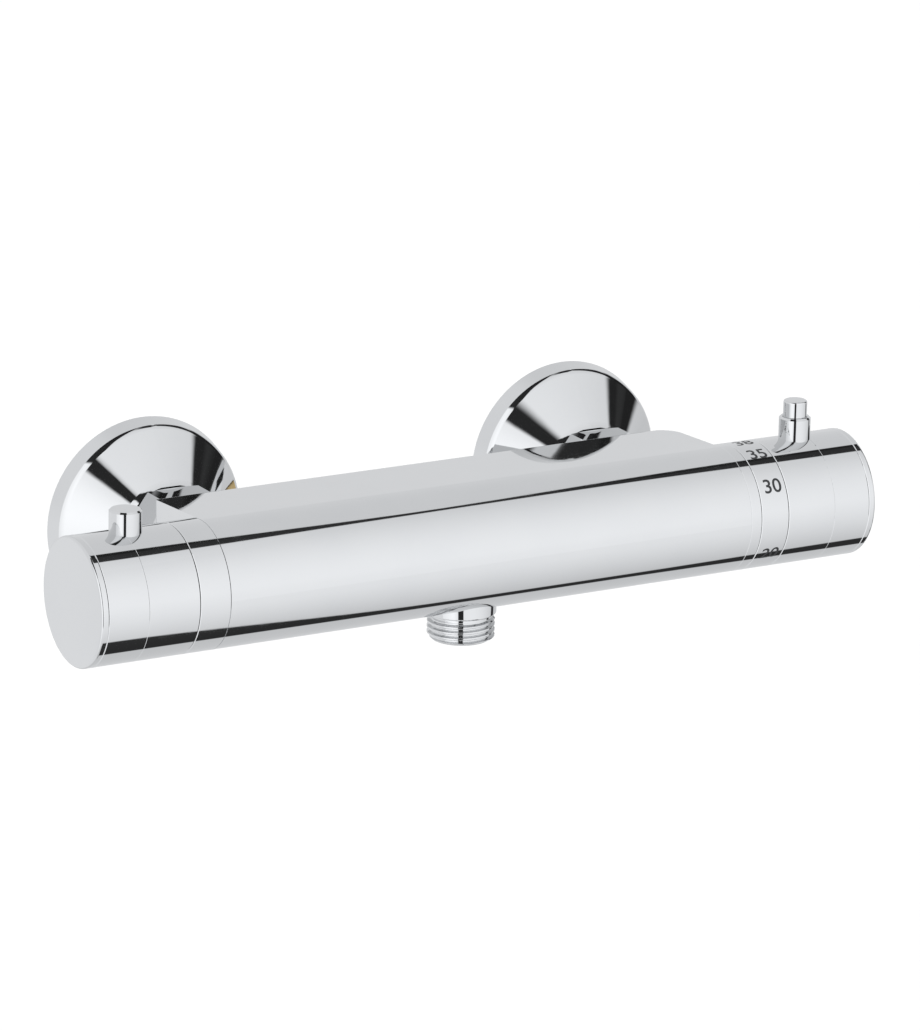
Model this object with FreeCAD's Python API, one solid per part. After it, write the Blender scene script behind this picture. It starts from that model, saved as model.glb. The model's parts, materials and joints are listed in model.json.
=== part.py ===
"""Exposed thermostatic shower valve, a horizontal bar on two wall inlets.

Frame: millimetres, +X to the right along the bar, +Y into the wall, +Z up. The origin
lies on the wall face, midway between the two threaded inlet tails.
"""
import FreeCAD, Part
import math
import os

# ---- Wall side -----------------------------------------------------------------------
INLET_SPACING = 150.0        # hot tail to cold tail
ECCENTRICITY = 10.0          # how far the bar sits above the tails
AXIS_TO_WALL = 69.0          # bar axis to the finished wall

# ---- Threads, as outside radii ----------------------------------------------------------
HALF_INCH_R = 10.4775        # G1/2 male
HALF_INCH_ROOT_R = 9.4
HALF_INCH_PITCH = 1.814
THREE_QUARTER_R = 13.22      # G3/4 male
THREAD_GAP = 0.05            # between a fixed male thread and its female one
RUNNING_GAP = 0.05           # between a turning or sliding piece and its bore
CLOSE_FIT = 0.05             # between two pieces that are pushed together

# ---- Bar body -----------------------------------------------------------------------------
BAR_R = 20.0
BODY_LEFT = 90.0             # centre to the left end face
BODY_RIGHT = 92.0            # centre to the right end face
BODY_DEPTH = 31.0            # axis to the rear face
BODY_DRAFT = 3.4             # degrees that the flat top and bottom close towards the rear
BODY_LEFT_CORNER_R = 1.5       # rear corners, seen from above
BODY_RIGHT_CORNER_R = 8.0
BODY_REAR_EDGE_R = 1.0
CARTRIDGE_BORE_R = 15.0
FLOW_BORE_DEPTH = 40.0
THERMO_BORE_DEPTH = 72.0
MIXED_BORE_R = 6.8
HOT_CHANNEL_R = 4.0
HOT_CHANNEL_BACK = 22.0      # behind the bar axis
HOT_CHANNEL_PAST = 3.0       # past the ports that it joins
HOT_PORT_R = 3.5
HOT_PORT_DEPTH = 44.0        # inwards from the right end face
COLD_PORT_R = 4.5
INLET_THREAD_R = 10.2
INLET_THREAD_DEPTH = 10.0

# ---- Outlet -------------------------------------------------------------------------------
OUTLET_SEAT_TOP = 13.0       # below the bar axis
OUTLET_BOSS_R = 10.9
OUTLET_BOSS_DROP = 1.0       # below the underside of the bar
OUTLET_NECK = 1.5
OUTLET_END = 29.4            # below the bar axis
OUTLET_BORE_R = 7.0
OUTLET_CHANNEL_R = 3.0
OUTLET_CHANNEL_DROP = 11.0
OUTLET_RISER_R = 5.5
OUTLET_RISER_TOP = 9.0
OUTLET_SEAL_WIRE_R = 0.55
CREST_FLAT = 0.45
END_CHAMFER = 0.7

# ---- Rings between the body and the handles --------------------------------------------
COLLAR_LENGTH = 10.1
NARROW_RING_LENGTH = 3.8
NUMBER_RING_LENGTH = 9.8
RING_SEAM = 0.1
RING_BORE_R = 16.4
HANDLE_GAP = 0.15            # between a turning handle and the fixed ring beside it
SEAM_CHAMFER = 0.2

# ---- Handles ---------------------------------------------------------------------------------
FLOW_HANDLE_LENGTH = 30.2
TEMP_HANDLE_LENGTH = 29.6
HANDLE_BORE_R = 17.3
CAP_THICKNESS = 2.4
CAP_EDGE_R = 0.9
CAP_SPIGOT_LENGTH = 4.0
CAP_SPIGOT_WALL = 2.0
WEB_RECESS = 5.6             # outer face of the web to the cap
WEB_THICKNESS = 4.5
HUB_R = 9.5
HUB_START = 3.0              # from the inner end of the handle
GROOVE_PLACE = 16.8          # faint turned line, from the inner end of the handle
GROOVE_WIDTH = 0.16
GROOVE_DEPTH = 0.08
RIB_ANGLE = 20.0
RIB_INNER_R = 13.0
RIB_START = 0.3
RIB_LENGTH = 3.5

# ---- Levers and button ---------------------------------------------------------------------
LEVER_R = 5.0
LEVER_TOP = 26.8             # above the bar axis
LEVER_CHAMFER = 0.5
FLOW_LEVER_INSET = 15.1      # from the outer end of the sleeve
TEMP_LEVER_INSET = 16.1
LEVER_SHANK_R = 3.5
LEVER_SHANK_END = 13.8
LEVER_NUT_R = 5.5
LEVER_NUT_TOP = 16.4
LEVER_NUT_THICKNESS = 2.0
BUTTON_R = 3.75
BUTTON_TOP = 32.0
BUTTON_ROUND = 0.6
BUTTON_SEAT = 21.3
BUTTON_TRAVEL = 2.2
BUTTON_SPRING_ROOM = 1.0     # left for the spring under the pressed button
STEM_R = 1.3
BUTTON_SIDE_GAP = 0.08
BUTTON_SPRING_R = 2.4
BUTTON_WIRE_R = 0.25
BUTTON_COILS = 2

# ---- Drive from handle to cartridge ----------------------------------------------------------
SPINDLE_R = 4.5
SPLINE_TIP_R = 4.3
SPLINE_ROOT_R = 3.8
SPLINE_TEETH = 20
SPLINE_LENGTH = 7.5
INSERT_R = 7.5
INSERT_LENGTH = 8.0
SCREW_R = 1.9
SCREW_HEAD_R = 3.9
SCREW_HEAD_HEIGHT = 3.0
SCREW_SOCKET_R = 1.4
SCREW_SOCKET_DEPTH = 1.8
SCREW_HOLE_R = 2.2
SCREW_SEAT = 1.2             # web left under the head
SCREW_GRIP = 6.0             # thread inside the spindle
SCREW_TIP_GAP = 1.0

# ---- Cartridge heads, the same on both sides -------------------------------------------
HEAD_THREAD_R = 14.95
HEAD_THREAD_LENGTH = 9.0
HEAD_FLANGE_R = 15.8
HEAD_FLANGE_THICKNESS = 3.0
NECK_R = 8.5
NECK_PAST_SEAM = 2.2         # neck end past the inner end of the handle
HOUSING_R = 13.0
SEAL_WIRE_R = 1.1
STOP_RING_OUTER_R = 15.5
STOP_RING_INNER_R = 12.4
STOP_RING_BACK = 3.4         # ring start before the handle's inner end
STOP_RING_FRONT = 1.6        # ring end past the handle's inner end
STOP_PLAY = 1.5              # degrees of play at each stop
SAFETY_STEP_R = 12.1
SAFETY_STEP_HEIGHT = 0.8
SAFETY_STEM_GAP = 0.3        # pressed stem to the step
HUB_CLEARANCE = 0.3

# ---- Flow cartridge ---------------------------------------------------------------------------
FLOW_TURN = 90.0
DISC_R = 11.0
DISC_THICKNESS = 3.5
DISC_GAP = 0.05
DISC_PORT_R = 2.1
DISC_PORT_PLACE = 4.6
DISC_SIDE_GAP = 0.2
FLOW_SEAL_R = 7.9
FLOW_SEAL_THICKNESS = 2.0
CARRIER_THICKNESS = 4.0
FLOW_CHAMBER_TOP = 22.0
WINDOW_WIDTH = 7.0
WINDOW_LENGTH = 4.0
SPINDLE_SEAL_DEPTH = 6.0
SPINDLE_SEAL_WIRE_R = 0.6

# ---- Thermostat cartridge ------------------------------------------------------------------
COLD_TURN = 125.0
HOT_TURN = 50.0
SHUTTLE_R = 10.5
SHUTTLE_TOP = 25.0           # depths inwards from the right end face
SHUTTLE_LENGTH = 12.0
SHUTTLE_WALL = 2.0
SHUTTLE_WEB = 3.0
PORT_LENGTH = 3.0
PORT_LIP = 0.5               # between the shuttle's end and each port
SHUTTLE_HOLES = 6
SHUTTLE_HOLE_R = 1.4
THERMO_CHAMBER_TOP = 20.5
THERMO_END = 66.0
BASE_THICKNESS = 2.0
BASE_HOLE_R = 5.0
SCREW_CHAMBER_R = 9.6
SCREW_CHAMBER_TOP = 10.4
SPINDLE_COLLAR_R = 6.5
SPINDLE_COLLAR_THICKNESS = 0.9
DRIVE_THREAD_R = 3.9
DRIVE_THREAD_END = 17.0
DRIVE_NUT_TOP = 12.0
DRIVE_NUT_BOTTOM = 19.0
DRIVE_NUT_FLOOR = 1.0
WAX_R = 4.0
WAX_TOP = 23.5
WAX_BOTTOM = 46.0
PISTON_R = 1.5
RETURN_SPRING_R = 6.5
RETURN_WIRE_R = 0.6
RETURN_COILS = 6
LANDS = (31.0, 58.0)         # depths of the inner seals

# ---- Inlet unions --------------------------------------------------------------------------------
ROSETTE_R = 32.5
ROSETTE_RIM_TAPER = 1.15     # that the rim closes towards the front
ROSETTE_RIM = 5.4
ROSETTE_NUT_GAP = 0.8
ROSETTE_NECK_R = 15.6
ROSETTE_WALL = 1.3
ROSETTE_SHOULDER_R = 5.0
ROSETTE_SHOULDER_TILT = 62.0  # degrees that the shoulder faces outwards at the rim
ROSETTE_THROAT_R = 12.0
ROSETTE_THROAT_TILT = 50.0   # degrees that the throat faces outwards at the neck
ROSETTE_EDGE_R = 0.8
ROSETTE_BUSH = 5.0
TAIL_LENGTH = 24.0           # into the wall
TAIL_BORE_R = 7.0
TAIL_RELIEF_R = 9.3          # undercut between the tail's thread and the offset
TAIL_RELIEF = 1.5
HEAD_BORE_R = 9.3
OFFSET_START = 1.0
OFFSET_THICKNESS = 8.0
OFFSET_WALL = 1.6
UNION_STANDOFF = 8.0         # sealing face to the body's rear face
WASHER_THICKNESS = 2.0
WASHER_INNER_R = 8.6
SCREEN_THICKNESS = 0.4
SCREEN_HOLE_R = 0.9
SCREEN_RINGS = ((2.6, 6), (5.2, 12))     # radius and number of holes
NIPPLE_FLANGE_R = 12.7
NIPPLE_FLANGE_THICKNESS = 2.8
NIPPLE_STEM_R = 9.8
NIPPLE_BORE_R = 7.2
NUT_FLATS = 30.0
NUT_REACH = 9.8              # back over the union from the sealing face
NUT_BODY_GAP = 0.4
NUT_STEM_GAP = 0.3
NUT_ROUND_R = 16.4

# ---- Check valves ---------------------------------------------------------------------------------
VALVE_SHELL_START = 2.0      # inwards from the union face of the nipple
VALVE_SHELL_WALL = 1.2
VALVE_SEAT_R = 3.2
VALVE_SEAT_THICKNESS = 1.6
POPPET_R = 4.5
POPPET_THICKNESS = 1.2
POPPET_STEM_R = 1.2
POPPET_STEM_SHORT = 1.0      # closed stem to the shell's end
POPPET_TRAVEL = 2.5
VALVE_SPRING_ROOM = 5.1      # left for the spring when the valve is open
SPIDER_THICKNESS = 1.6
SPIDER_HOLE_R = 1.4
SPIDER_HOLES = 3
VALVE_SPRING_R = 2.4
VALVE_WIRE_R = 0.3
VALVE_COILS = 5

SEAL_GAP = 0.02
TINY = 1e-3


def vec(x, y, z):
    return FreeCAD.Vector(x, y, z)


class Axis:
    """A line with a start, a direction and a radial direction for profiles."""

    def __init__(self, start, direction, radial):
        self.start = start
        self.direction = direction
        self.radial = radial

    def at(self, along, radius=0.0):
        return self.start + self.direction * along + self.radial * radius


AXIS_Y = -AXIS_TO_WALL
AXIS_Z = ECCENTRICITY
UP = vec(0, 0, 1)
RIGHTWARDS = vec(1, 0, 0)
OUT_OF_WALL = vec(0, -1, 0)
LEFT_END = Axis(vec(-BODY_LEFT, AXIS_Y, AXIS_Z), vec(-1, 0, 0), UP)
RIGHT_END = Axis(vec(BODY_RIGHT, AXIS_Y, AXIS_Z), vec(1, 0, 0), UP)
OUTLET = Axis(vec(0, AXIS_Y, AXIS_Z), vec(0, 0, -1), RIGHTWARDS)
SIDES = {"left": -INLET_SPACING / 2, "right": INLET_SPACING / 2}
BODY_REAR = AXIS_TO_WALL - BODY_DEPTH     # places out from the wall
UNION_FACE = BODY_REAR - UNION_STANDOFF
NUT_START = UNION_FACE - NUT_REACH
ROSETTE_LENGTH = NUT_START - ROSETTE_NUT_GAP


def inlet_axis(x):
    return Axis(vec(x, 0, AXIS_Z), OUT_OF_WALL, UP)


def tail_axis(x):
    return Axis(vec(x, 0, 0), OUT_OF_WALL, UP)


def spun(axis, profile):
    """Solid of revolution from (along, radius) points."""
    points = [axis.at(along, radius) for along, radius in profile]
    wire = Part.makePolygon(points + [points[0]])
    return Part.Face(wire).revolve(axis.start, axis.direction, 360)


def ring(axis, inner_r, outer_r, start, end):
    return spun(axis, [(start, inner_r), (end, inner_r), (end, outer_r), (start, outer_r)])


def rod(axis, radius, start, end):
    low = min(start, end)
    return Part.makeCylinder(radius, abs(end - start), axis.at(low), axis.direction)


def o_ring(axis, along, centre_r, wire_r):
    return Part.makeTorus(centre_r, wire_r, axis.at(along), axis.direction)


def circular_edges(shape, radius, axis, along):
    """Edges that are full circles of one radius about an axis, at one place along it."""
    found = []
    for edge in shape.Edges:
        if not isinstance(edge.Curve, Part.Circle):
            continue
        same_radius = abs(edge.Curve.Radius - radius) < TINY
        same_place = edge.Curve.Center.distanceToPoint(axis.at(along)) < TINY
        if same_radius and same_place:
            found.append(edge)
    return found


def prism(axis, outline, start, end):
    """Prism along an axis from (angle in degrees, radius) points about it."""
    side = axis.direction.cross(axis.radial)
    points = []
    for angle, radius in outline:
        turn = math.radians(angle)
        points.append(axis.at(start) + (axis.radial * math.cos(turn) + side * math.sin(turn)) * radius)
    face = Part.Face(Part.makePolygon(points + [points[0]]))
    return face.extrude(axis.direction * (end - start))


def sector(axis, inner_r, outer_r, start, end, angle_from, angle_to):
    """Part of a ring between two angles about the +X direction from straight up."""
    whole = Part.Face(Part.makePolygon([
        axis.at(start, inner_r), axis.at(end, inner_r),
        axis.at(end, outer_r), axis.at(start, outer_r), axis.at(start, inner_r)]))
    whole.rotate(axis.start, RIGHTWARDS, angle_from)
    return whole.revolve(axis.start, RIGHTWARDS, angle_to - angle_from)


def coil(axis, start, end, coil_r, wire_r, turns):
    """Compression spring between two places along an axis."""
    pitch = (end - start - 2 * wire_r) / turns
    path = Part.makeHelix(pitch, pitch * turns, coil_r)
    tangent = vec(0, 2 * math.pi * coil_r, pitch)
    section = Part.Wire(Part.Circle(vec(coil_r, 0, 0), tangent, wire_r).toShape())
    spring = Part.Wire(path).makePipeShell([section], True, True)
    turn = FreeCAD.Rotation(vec(0, 0, 1), axis.direction)
    spring.Placement = FreeCAD.Placement(axis.at(start + wire_r), turn)
    return spring


def save(name, shape):
    shape.exportStep("parts/" + name + ".step")
    print(name, "valid", shape.isValid(), "solids", len(shape.Solids), "volume", round(shape.Volume, 1))


# ---- Bar body ---------------------------------------------------------------------------------

def rear_edges(shape, direction):
    """Straight edges of the body's rear face that run in one direction."""
    found = []
    for edge in shape.Edges:
        ends = [vertex.Point for vertex in edge.Vertexes]
        if len(ends) != 2 or any(abs(point.y - AXIS_Y - BODY_DEPTH) > TINY for point in ends):
            continue
        if (ends[1] - ends[0]).cross(direction).Length < TINY:
            found.append(edge)
    return found


def body_blank():
    """Round front that runs on into a drafted flat top and bottom."""
    draft = math.radians(BODY_DRAFT)
    tangent_y = BAR_R * math.sin(draft)
    tangent_z = BAR_R * math.cos(draft)
    rear_z = (BAR_R - BODY_DEPTH * math.sin(draft)) / math.cos(draft)

    def place(back, height):
        return vec(-BODY_LEFT, AXIS_Y + back, AXIS_Z + height)

    front = Part.Arc(place(tangent_y, -tangent_z), place(-BAR_R, 0), place(tangent_y, tangent_z)).toShape()
    section = Part.Wire([
        Part.makeLine(place(tangent_y, tangent_z), place(BODY_DEPTH, rear_z)),
        Part.makeLine(place(BODY_DEPTH, rear_z), place(BODY_DEPTH, -rear_z)),
        Part.makeLine(place(BODY_DEPTH, -rear_z), place(tangent_y, -tangent_z)), front])
    length = BODY_LEFT + BODY_RIGHT
    blank = Part.Face(section).extrude(RIGHTWARDS * length)
    blank = blank.makeFillet(BODY_REAR_EDGE_R, rear_edges(blank, RIGHTWARDS))
    plan = Part.makeBox(length, BAR_R + BODY_DEPTH, 2 * BAR_R, vec(-BODY_LEFT, AXIS_Y - BAR_R, AXIS_Z - BAR_R))
    for side, radius in ((-1, BODY_LEFT_CORNER_R), (1, BODY_RIGHT_CORNER_R)):
        corner = [edge for edge in rear_edges(plan, UP) if edge.CenterOfMass.x * side > 0]
        plan = plan.makeFillet(radius, corner)
    return blank.common(plan)


def outlet_boss():
    boss = rod(OUTLET, OUTLET_BOSS_R, OUTLET_SEAT_TOP, BAR_R + OUTLET_BOSS_DROP)
    edges = circular_edges(boss, OUTLET_BOSS_R, OUTLET, BAR_R + OUTLET_BOSS_DROP)
    return boss.makeFillet(OUTLET_BOSS_DROP / 2, edges)


def hot_channel():
    """Drilling along the rear that takes hot water across to the thermostat."""
    start = SIDES["left"] - HOT_CHANNEL_PAST
    port_x = BODY_RIGHT - HOT_PORT_DEPTH
    length = port_x + HOT_CHANNEL_PAST - start
    channel_y = AXIS_Y + HOT_CHANNEL_BACK
    along = Part.makeCylinder(HOT_CHANNEL_R, length, vec(start, channel_y, AXIS_Z), RIGHTWARDS)
    across = Part.makeCylinder(HOT_PORT_R, HOT_CHANNEL_BACK, vec(port_x, AXIS_Y, AXIS_Z), vec(0, 1, 0))
    return [along, across]


def outlet_channel():
    """Drilling low in the body from the flow cartridge to the outlet."""
    height = AXIS_Z - OUTLET_CHANNEL_DROP
    start = FLOW_BORE_DEPTH - BODY_LEFT
    along = Part.makeCylinder(OUTLET_CHANNEL_R, -start, vec(start, AXIS_Y, height), RIGHTWARDS)
    riser = rod(OUTLET, OUTLET_RISER_R, OUTLET_RISER_TOP, OUTLET_SEAT_TOP)
    seat = rod(OUTLET, HALF_INCH_ROOT_R, OUTLET_SEAT_TOP, BAR_R + OUTLET_BOSS_DROP)
    return [along, riser, seat]


def valve_body():
    body = body_blank().fuse(outlet_boss())
    cuts = hot_channel() + outlet_channel()
    cuts.append(rod(LEFT_END, CARTRIDGE_BORE_R, -FLOW_BORE_DEPTH, 0))
    cuts.append(rod(RIGHT_END, CARTRIDGE_BORE_R, -THERMO_BORE_DEPTH, 0))
    cuts.append(rod(LEFT_END, MIXED_BORE_R, THERMO_BORE_DEPTH - BODY_LEFT - BODY_RIGHT, -FLOW_BORE_DEPTH))
    for x in SIDES.values():
        cuts.append(rod(inlet_axis(x), INLET_THREAD_R, BODY_REAR, BODY_REAR + INLET_THREAD_DEPTH))
    cuts.append(rod(inlet_axis(SIDES["right"]), COLD_PORT_R, BODY_REAR, AXIS_TO_WALL - CARTRIDGE_BORE_R / 2))
    for cut in cuts:
        body = body.cut(cut)
    return body


# ---- Outlet -----------------------------------------------------------------------------------

def outlet_nipple():
    """Screwed-in outlet with a male thread of flat-topped ridges below the bar."""
    neck_start = BAR_R + OUTLET_BOSS_DROP
    thread_start = neck_start + OUTLET_NECK
    depth = HALF_INCH_R - HALF_INCH_ROOT_R
    seat_r = HALF_INCH_ROOT_R - THREAD_GAP
    top = OUTLET_SEAT_TOP + 2 * OUTLET_SEAL_WIRE_R
    profile = [(top, OUTLET_BORE_R), (top, seat_r)]
    profile += [(neck_start, seat_r), (neck_start, HALF_INCH_ROOT_R), (thread_start, HALF_INCH_ROOT_R)]
    flank = (HALF_INCH_PITCH - CREST_FLAT) / 2
    ridges = int((OUTLET_END - END_CHAMFER - thread_start) / HALF_INCH_PITCH)
    start = OUTLET_END - END_CHAMFER - ridges * HALF_INCH_PITCH
    for number in range(ridges):
        foot = start + number * HALF_INCH_PITCH
        profile.append((foot, HALF_INCH_ROOT_R))
        profile.append((foot + flank, HALF_INCH_R))
        profile.append((foot + flank + CREST_FLAT, HALF_INCH_R))
    profile.append((OUTLET_END - END_CHAMFER, HALF_INCH_ROOT_R))
    profile += [(OUTLET_END, HALF_INCH_ROOT_R - depth / 2), (OUTLET_END, OUTLET_BORE_R)]
    return spun(OUTLET, profile)


def outlet_seal():
    centre_r = (OUTLET_BORE_R + HALF_INCH_ROOT_R) / 2
    return o_ring(OUTLET, OUTLET_SEAT_TOP + OUTLET_SEAL_WIRE_R, centre_r, OUTLET_SEAL_WIRE_R)


# ---- Fixed rings ------------------------------------------------------------------------------

def fixed_ring(axis, start, length):
    """Chromed ring with a hairline chamfer at each seam."""
    end = start + length
    return spun(axis, [
        (start, RING_BORE_R), (end, RING_BORE_R), (end, BAR_R - SEAM_CHAMFER),
        (end - SEAM_CHAMFER, BAR_R), (start + SEAM_CHAMFER, BAR_R), (start, BAR_R - SEAM_CHAMFER)])


# ---- Handles ----------------------------------------------------------------------------------

class Handle:
    """Places along one end of the bar, measured outwards from the body's end face."""

    def __init__(self, axis, rings, length, lever_inset, turns):
        self.axis = axis
        self.start = rings + HANDLE_GAP
        self.end = self.start + length
        self.lever = self.end - lever_inset
        self.neck_end = self.start + NECK_PAST_SEAM
        self.hub_start = self.start + HUB_START
        self.web_end = self.end - WEB_RECESS
        self.web_start = self.web_end - WEB_THICKNESS
        self.spindle_end = self.hub_start + SPLINE_LENGTH
        self.turns = turns
        self.lever_axis = Axis(axis.at(self.lever), UP, RIGHTWARDS)

    def head_seat(self):
        return self.web_start + SCREW_SEAT


def spline(axis, start, end, gap=0.0):
    outline = []
    for tooth in range(SPLINE_TEETH):
        step = 360.0 / SPLINE_TEETH
        outline.append((tooth * step, SPLINE_TIP_R + gap))
        outline.append(((tooth + 0.5) * step, SPLINE_ROOT_R + gap))
    return prism(axis, outline, start, end)


def handle_barrel(handle):
    """Chromed sleeve with an inner web and hub, and a rib that meets the stops."""
    axis = handle.axis
    groove = handle.start + GROOVE_PLACE
    insert_end = handle.hub_start + INSERT_LENGTH
    barrel = spun(axis, [
        (handle.start, HANDLE_BORE_R), (handle.web_start, HANDLE_BORE_R), (handle.web_start, HUB_R),
        (handle.hub_start, HUB_R), (handle.hub_start, INSERT_R + CLOSE_FIT),
        (insert_end, INSERT_R + CLOSE_FIT), (insert_end, SCREW_HOLE_R),
        (handle.head_seat(), SCREW_HOLE_R), (handle.head_seat(), SCREW_HEAD_R + CLOSE_FIT),
        (handle.web_end, SCREW_HEAD_R + CLOSE_FIT), (handle.web_end, HANDLE_BORE_R),
        (handle.end, HANDLE_BORE_R), (handle.end, BAR_R - SEAM_CHAMFER),
        (handle.end - SEAM_CHAMFER, BAR_R), (groove + GROOVE_WIDTH, BAR_R),
        (groove + GROOVE_WIDTH / 2, BAR_R - GROOVE_DEPTH), (groove, BAR_R),
        (handle.start + SEAM_CHAMFER, BAR_R), (handle.start, BAR_R - SEAM_CHAMFER)])
    middle_r = (HANDLE_BORE_R + BAR_R) / 2
    rib = sector(axis, RIB_INNER_R, middle_r, handle.start + RIB_START,
                 handle.start + RIB_START + RIB_LENGTH, -RIB_ANGLE / 2, RIB_ANGLE / 2)
    rib.rotate(axis.start, RIGHTWARDS, 180)
    barrel = barrel.fuse(rib)
    return barrel.cut(rod(handle.lever_axis, LEVER_SHANK_R + SEAL_GAP, LEVER_SHANK_END, BAR_R + LEVER_R))


def lever_blank(handle):
    """Round peg saddled on the sleeve, with a threaded shank through the wall."""
    axis = handle.lever_axis
    peg = spun(axis, [
        (HANDLE_BORE_R, 0), (HANDLE_BORE_R, LEVER_R), (LEVER_TOP - LEVER_CHAMFER, LEVER_R),
        (LEVER_TOP, LEVER_R - LEVER_CHAMFER), (LEVER_TOP, 0)])
    peg = peg.cut(rod(handle.axis, BAR_R, handle.start, handle.end))
    return peg.fuse(rod(axis, LEVER_SHANK_R, LEVER_SHANK_END, BAR_R + LEVER_CHAMFER))


def temperature_lever(handle):
    axis = handle.lever_axis
    lever = lever_blank(handle)
    pocket_r = BUTTON_R + BUTTON_SIDE_GAP
    pocket = spun(axis, [
        (BUTTON_SEAT, 0), (BUTTON_SEAT, pocket_r), (LEVER_TOP - LEVER_CHAMFER / 2, pocket_r),
        (LEVER_TOP, pocket_r + LEVER_CHAMFER / 2), (LEVER_TOP, 0)])
    stem_hole = rod(axis, STEM_R + BUTTON_SIDE_GAP, LEVER_SHANK_END, BUTTON_SEAT)
    return lever.cut(pocket).cut(stem_hole)


def lever_nut(handle):
    nut = prism(handle.lever_axis, [(30 + 60 * side, LEVER_NUT_R) for side in range(6)],
                LEVER_NUT_TOP - LEVER_NUT_THICKNESS, LEVER_NUT_TOP)
    return nut.cut(rod(handle.lever_axis, LEVER_SHANK_R + SEAL_GAP, 0, LEVER_TOP))


def end_cap(handle):
    """Flat disc with a rounded edge and a spigot that snaps into the sleeve."""
    axis = handle.axis
    outer = handle.end + CAP_THICKNESS
    spigot_r = HANDLE_BORE_R - CLOSE_FIT
    spigot_end = handle.end - CAP_SPIGOT_LENGTH
    cap = spun(axis, [
        (spigot_end, spigot_r - CAP_SPIGOT_WALL), (spigot_end, spigot_r), (handle.end, spigot_r),
        (handle.end, BAR_R - SEAM_CHAMFER), (handle.end + SEAM_CHAMFER, BAR_R), (outer, BAR_R),
        (outer, 0), (handle.end, 0), (handle.end, spigot_r - CAP_SPIGOT_WALL)])
    return cap.makeFillet(CAP_EDGE_R, circular_edges(cap, BAR_R, axis, outer))


def spline_insert(handle):
    axis = handle.axis
    start = handle.hub_start
    insert = rod(axis, INSERT_R, start, start + INSERT_LENGTH)
    return insert.cut(spline(axis, start, handle.spindle_end + CLOSE_FIT, CLOSE_FIT)).cut(
        rod(axis, SCREW_HOLE_R, start, start + INSERT_LENGTH))


def handle_screw(handle):
    axis = handle.axis
    seat = handle.head_seat()
    screw = rod(axis, SCREW_HEAD_R, seat, seat + SCREW_HEAD_HEIGHT)
    screw = screw.fuse(rod(axis, SCREW_R, handle.spindle_end - SCREW_GRIP, seat))
    socket = prism(axis, [(60 * side, SCREW_SOCKET_R) for side in range(6)],
                   seat + SCREW_HEAD_HEIGHT - SCREW_SOCKET_DEPTH, seat + SCREW_HEAD_HEIGHT)
    return screw.cut(socket)


def stop_ring(handle):
    """Ring on the neck whose notch lets the handle's rib sweep its whole range."""
    axis = handle.axis
    start = handle.start - STOP_RING_BACK
    end = handle.start + STOP_RING_FRONT
    stops = ring(axis, NECK_R + CLOSE_FIT, STOP_RING_INNER_R, start, end)
    sweep_from = 180 + handle.turns[0] - RIB_ANGLE / 2 - STOP_PLAY
    sweep_to = 180 + handle.turns[1] + RIB_ANGLE / 2 + STOP_PLAY
    lug = sector(axis, STOP_RING_INNER_R - CLOSE_FIT, STOP_RING_OUTER_R, start, end, sweep_to, sweep_from + 360)
    return stops.fuse(lug)


def safety_stop_ring(handle):
    """Stop ring with a sleeve under the button's stem, raised by a step on its hot side."""
    axis = handle.axis
    sleeve_end = handle.lever + STEM_R + BUTTON_SIDE_GAP
    sleeve_r = HUB_R + HUB_CLEARANCE
    sleeve_start = handle.hub_start - BUTTON_SIDE_GAP
    sleeve = ring(axis, sleeve_r, SAFETY_STEP_R - SAFETY_STEP_HEIGHT, sleeve_start, sleeve_end)
    foot = ring(axis, sleeve_r, SAFETY_STEP_R, handle.start + STOP_RING_FRONT - TINY, handle.hub_start)
    step = sector(axis, sleeve_r, SAFETY_STEP_R, sleeve_start, sleeve_end,
                  -HOT_TURN - RIB_ANGLE, -RIB_ANGLE / 2)
    return stop_ring(handle).fuse(foot).fuse(sleeve).fuse(step)


# ---- Button -----------------------------------------------------------------------------------

def button_foot():
    return BUTTON_SEAT + BUTTON_SPRING_ROOM + BUTTON_TRAVEL


def stem_end():
    return SAFETY_STEP_R + SAFETY_STEM_GAP + BUTTON_TRAVEL


def safety_button(handle):
    axis = handle.lever_axis
    button = rod(axis, BUTTON_R, button_foot(), BUTTON_TOP)
    button = button.makeFillet(BUTTON_ROUND, circular_edges(button, BUTTON_R, axis, BUTTON_TOP))
    return button.fuse(rod(axis, STEM_R, stem_end(), button_foot()))


def button_spring(handle):
    return coil(handle.lever_axis, BUTTON_SEAT, button_foot(), BUTTON_SPRING_R, BUTTON_WIRE_R, BUTTON_COILS)


# ---- Cartridge heads ----------------------------------------------------------------------------

def head_profile(handle):
    """Outer steps of a cartridge head from its thread to the end of its neck."""
    return [
        (-HEAD_THREAD_LENGTH, HOUSING_R), (-HEAD_THREAD_LENGTH, HEAD_THREAD_R), (0, HEAD_THREAD_R),
        (0, HEAD_FLANGE_R), (HEAD_FLANGE_THICKNESS, HEAD_FLANGE_R),
        (HEAD_FLANGE_THICKNESS, NECK_R), (handle.neck_end, NECK_R)]


def housing_seal(axis, depth):
    centre_r = CARTRIDGE_BORE_R - SEAL_WIRE_R - SEAL_GAP
    return o_ring(axis, -depth, centre_r, SEAL_WIRE_R)


def seal_groove(axis, depth):
    half = SEAL_WIRE_R + SEAL_GAP
    floor_r = CARTRIDGE_BORE_R - 2 * half
    return ring(axis, floor_r, CARTRIDGE_BORE_R, -depth - half, -depth + half)


def windows(axis, depth, length):
    """Four slots through a housing wall, centred at one depth."""
    slots = []
    for turn in (0, 90):
        bar = Part.makeBox(length, WINDOW_WIDTH, 2 * CARTRIDGE_BORE_R)
        bar.translate(vec(-length / 2, -WINDOW_WIDTH / 2, -CARTRIDGE_BORE_R))
        bar.rotate(vec(0, 0, 0), RIGHTWARDS, turn)
        bar.translate(axis.at(-depth))
        slots.append(bar)
    return slots


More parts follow.
